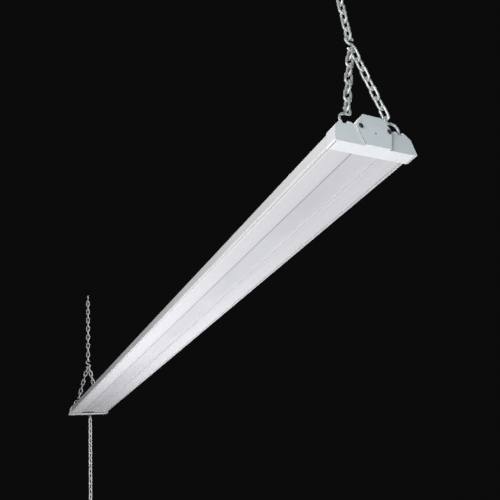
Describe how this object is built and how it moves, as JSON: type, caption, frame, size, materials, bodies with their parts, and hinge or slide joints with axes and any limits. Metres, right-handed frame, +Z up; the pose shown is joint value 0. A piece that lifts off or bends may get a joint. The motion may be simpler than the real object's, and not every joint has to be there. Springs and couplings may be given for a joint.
{
  "type": "hanging shop light",
  "caption": "Long twin-trough LED shop light with frosted lenses, hung level on two chain bridles, with a pull-chain switch at one end.",
  "frame": {"origin": "midway between the two ceiling hooks, at the inside top of their upper loops, where they hang", "axes": "+X along the fixture towards the end without the pull chain, +Y across it, +Z up"},
  "size_m": [1.225, 0.095, 0.5593],
  "materials": {
    "white_paint": "semi-gloss white powder coat",
    "strip_paint": "satin white paint",
    "cap_paint": "satin off-white paint",
    "frosted_lens": "frosted, softly lit",
    "lamp_board": "white solder mask",
    "lamp": "phosphor",
    "zinc_wire": "bright zinc plate",
    "dark_screw": "dark oxide",
    "black_plastic": "moulded",
    "cream_plastic": "moulded",
    "lead_sheath": "insulation",
    "white_plastic": "polished"
  },
  "bodies": {
    "ceiling_hooks": {"near_top_hook": "zinc_wire", "far_top_hook": "zinc_wire"},
    "turning_links": {"near_top_link": "zinc_wire", "far_top_link": "zinc_wire"},
    "near_hanger": {"near_upper_chain": "zinc_wire", "near_apex_hook": "zinc_wire", "near_left_leg": "zinc_wire", "near_right_leg": "zinc_wire", "near_left_hook": "zinc_wire", "near_right_hook": "zinc_wire"},
    "far_hanger": {"far_upper_chain": "zinc_wire", "far_apex_hook": "zinc_wire", "far_left_leg": "zinc_wire", "far_right_leg": "zinc_wire", "far_left_hook": "zinc_wire", "far_right_hook": "zinc_wire"},
    "fixture": {"housing": "white_paint", "driver_cover": "strip_paint", "left_lens": "frosted_lens", "right_lens": "frosted_lens", "left_led_board": "lamp_board", "right_led_board": "lamp_board", "left_leds": "lamp", "right_leds": "lamp", "driver_case": "black_plastic", "driver_screws": "zinc_wire", "terminal_block": "cream_plastic", "supply_leads": "lead_sheath", "switch_leads": "lead_sheath", "led_leads": "lead_sheath", "cord_inlet": "black_plastic", "pull_switch": "black_plastic", "switch_nut": "zinc_wire", "near_end_cap": "cap_paint", "far_end_cap": "cap_paint", "near_centre_plate": "cap_paint", "far_centre_plate": "cap_paint", "near_cap_screws": "dark_screw", "far_cap_screws": "dark_screw"},
    "pull_rod": {"switch_eye": "zinc_wire"},
    "pull_turning_link": {"pull_top_link": "zinc_wire"},
    "pull_string": {"pull_chain": "zinc_wire", "pull_knob": "white_plastic"}
  },
  "joints": [
    {"name": "sideways_sway", "type": "hinge", "parent": "ceiling_hooks", "child": "turning_links", "pos_m": [0, 0, -0.01715], "axis": [1, 0, 0], "range_deg": [-15, 15]},
    {"name": "lengthwise_swing", "type": "hinge", "parent": "turning_links", "child": "near_hanger", "pos_m": [0.6054, 0, -0.0289], "axis": [0, 1, 0], "range_deg": [-12, 12]},
    {"name": "near_bridle_turn", "type": "hinge", "parent": "near_hanger", "child": "fixture", "pos_m": [0.6054, 0, -0.2982], "axis": [0, 1, 0], "range_deg": [-12, 12]},
    {"name": "far_bridle_turn", "type": "hinge", "parent": "fixture", "child": "far_hanger", "pos_m": [-0.6054, 0, -0.2982], "axis": [0, 1, 0], "range_deg": [-12, 12]},
    {"name": "switch_pull", "type": "slide", "parent": "fixture", "child": "pull_rod", "axis": [0, 0, -1], "range_m": [0, 0.006], "stiffness_N_per_m": 700, "springref_m": -0.002},
    {"name": "pull_chain_sideways", "type": "hinge", "parent": "pull_rod", "child": "pull_turning_link", "pos_m": [-0.6015, 0.004, -0.3319], "axis": [0.848, 0.5299, 0], "range_deg": [-45, 45]},
    {"name": "pull_chain_lengthwise", "type": "hinge", "parent": "pull_turning_link", "child": "pull_string", "pos_m": [-0.6015, 0.004, -0.344], "axis": [-0.5299, 0.848, 0], "range_deg": [-45, 45]}
  ],
  "couplings": [
    {"joint": "near_bridle_turn", "follows": "lengthwise_swing", "ratio": -1},
    {"joint": "far_bridle_turn", "follows": "lengthwise_swing", "ratio": 1}
  ]
}
